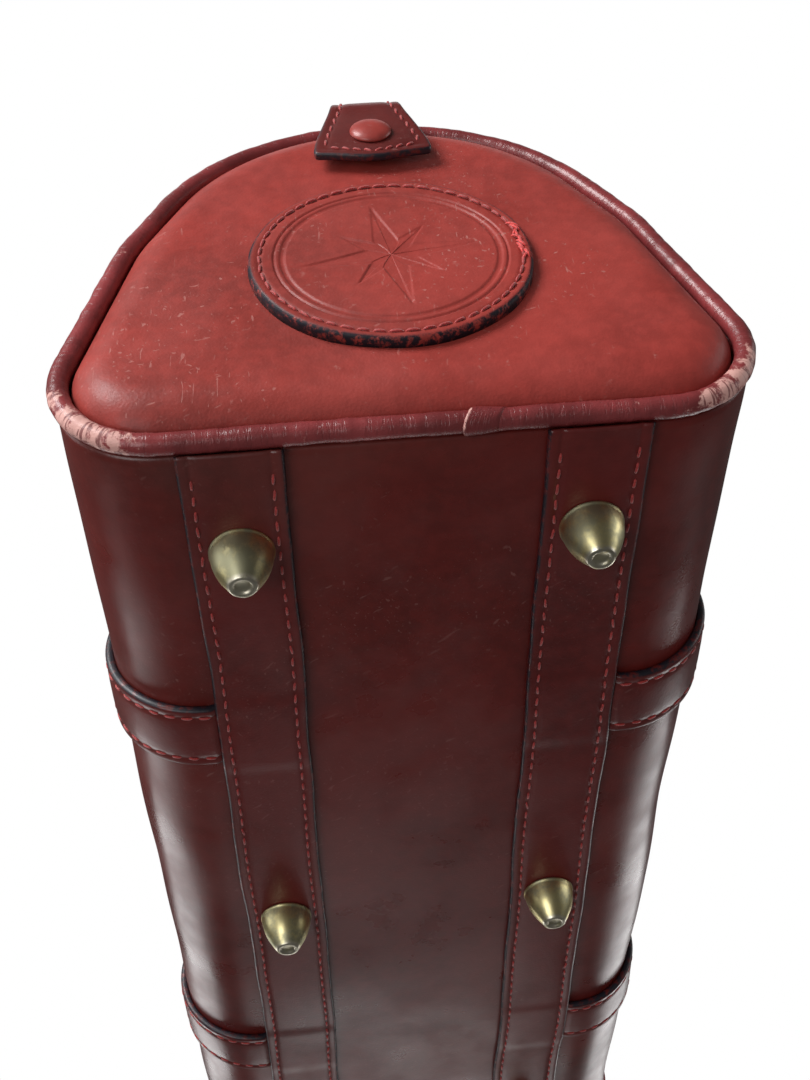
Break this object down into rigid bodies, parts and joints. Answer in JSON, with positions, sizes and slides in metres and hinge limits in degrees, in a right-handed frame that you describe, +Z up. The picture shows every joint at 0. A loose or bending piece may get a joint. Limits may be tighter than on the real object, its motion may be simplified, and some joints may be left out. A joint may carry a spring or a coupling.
{
  "type": "leather travel bag",
  "caption": "Small leather travel bag with rounded end panels, piped edges, a zip along the top, rolled handles, closing tabs and conical metal feet.",
  "frame": {"origin": "on the ground under the middle of the bag, in the plane of the feet tips", "axes": "+X along the bag towards its right end, +Z up; the front faces -Y"},
  "size_m": [0.4444, 0.1822, 0.2368],
  "materials": {
    "body_leather": "smooth, glossy",
    "end_leather": "smooth, lightly scuffed",
    "piping_leather": "worn pale at the corners",
    "trim_leather": "stitched, with dark painted edges",
    "handle_leather": "rolled, smooth",
    "cord": "twisted cotton",
    "foam": "soft foam",
    "board": "grey fibre board",
    "lining_cloth": "twill lining",
    "zip_tape": "woven tape",
    "zip_rows": "tape with brass teeth",
    "antique_brass": "antique, worn bright",
    "steel": "zinc plated"
  },
  "bodies": {
    "bag": {"back_panel": "body_leather", "base_board": "board", "base_feet": "antique_brass", "base_panel": "body_leather", "base_strip_back": "trim_leather", "base_strip_front": "trim_leather", "end_board_left": "board", "end_board_right": "board", "end_pad_left": "foam", "end_pad_right": "foam", "end_panel_left": "end_leather", "end_panel_right": "end_leather", "end_patch_left": "end_leather", "end_patch_right": "end_leather", "foot_screws": "steel", "foot_washers": "steel", "front_panel": "body_leather", "handle_anchors_back": "trim_leather", "handle_anchors_front": "trim_leather", "handle_rivets_back": "antique_brass", "handle_rivets_front": "antique_brass", "lining": "lining_cloth", "piping_cord_left": "cord", "piping_cord_right": "cord", "piping_left": "piping_leather", "piping_right": "piping_leather", "piping_splice_left": "piping_leather", "piping_splice_right": "piping_leather", "snap_stud_left": "antique_brass", "snap_stud_right": "antique_brass", "strap_left_back": "trim_leather", "strap_left_front": "trim_leather", "strap_right_back": "trim_leather", "strap_right_front": "trim_leather", "tab_root_left": "trim_leather", "tab_root_right": "trim_leather", "zip_end_facings_left": "body_leather", "zip_end_facings_right": "body_leather", "zip_end_rows_left": "zip_rows", "zip_end_rows_right": "zip_rows"},
    "zip_slider": {"slider": "antique_brass"},
    "zip_puller": {"puller": "antique_brass"},
    "facing_front": {"zip_facing_front": "body_leather", "zip_tape_front": "zip_tape", "zip_teeth_front": "antique_brass"},
    "facing_back": {"zip_facing_back": "body_leather", "zip_tape_back": "zip_tape", "zip_teeth_back": "antique_brass"},
    "carry_handle_front": {"handle_front": "handle_leather", "handle_core_front": "cord"},
    "carry_handle_back": {"handle_back": "handle_leather", "handle_core_back": "cord"},
    "closing_tab_right": {"tab_right": "trim_leather", "snap_cap_right": "trim_leather", "snap_socket_right": "antique_brass"},
    "closing_tab_left": {"tab_left": "trim_leather", "snap_cap_left": "trim_leather", "snap_socket_left": "antique_brass"}
  },
  "joints": [
    {"name": "zip_slide", "type": "slide", "parent": "bag", "child": "zip_slider", "axis": [-1, 0, 0], "range_m": [0, 0.298]},
    {"name": "puller_swing", "type": "hinge", "parent": "zip_slider", "child": "zip_puller", "pos_m": [0.163, 0, 0.16455], "axis": [0, 1, 0], "range_deg": [0, 150]},
    {"name": "facing_front_fold", "type": "hinge", "parent": "bag", "child": "facing_front", "pos_m": [0, -0.03, 0.15324], "axis": [-1, 0, 0], "range_deg": [0, 80]},
    {"name": "facing_back_fold", "type": "hinge", "parent": "bag", "child": "facing_back", "pos_m": [0, 0.03, 0.15324], "axis": [1, 0, 0], "range_deg": [0, 80]},
    {"name": "handle_front_swing", "type": "hinge", "parent": "bag", "child": "carry_handle_front", "pos_m": [0, -0.06999, 0.12788], "axis": [1, 0, 0], "range_deg": [0, 150]},
    {"name": "handle_back_swing", "type": "hinge", "parent": "bag", "child": "carry_handle_back", "pos_m": [0, 0.06999, 0.12788], "axis": [-1, 0, 0], "range_deg": [0, 150]},
    {"name": "tab_right_lift", "type": "hinge", "parent": "bag", "child": "closing_tab_right", "pos_m": [0.2081, 0, 0.1672], "axis": [0, -1, 0], "range_deg": [0, 120]},
    {"name": "tab_left_lift", "type": "hinge", "parent": "bag", "child": "closing_tab_left", "pos_m": [-0.2081, 0, 0.1672], "axis": [0, 1, 0], "range_deg": [0, 120]}
  ],
  "couplings": [
    {"joint": "facing_front_fold", "follows": "zip_slide", "rad_per_m": 4.685},
    {"joint": "facing_back_fold", "follows": "zip_slide", "rad_per_m": 4.685}
  ]
}
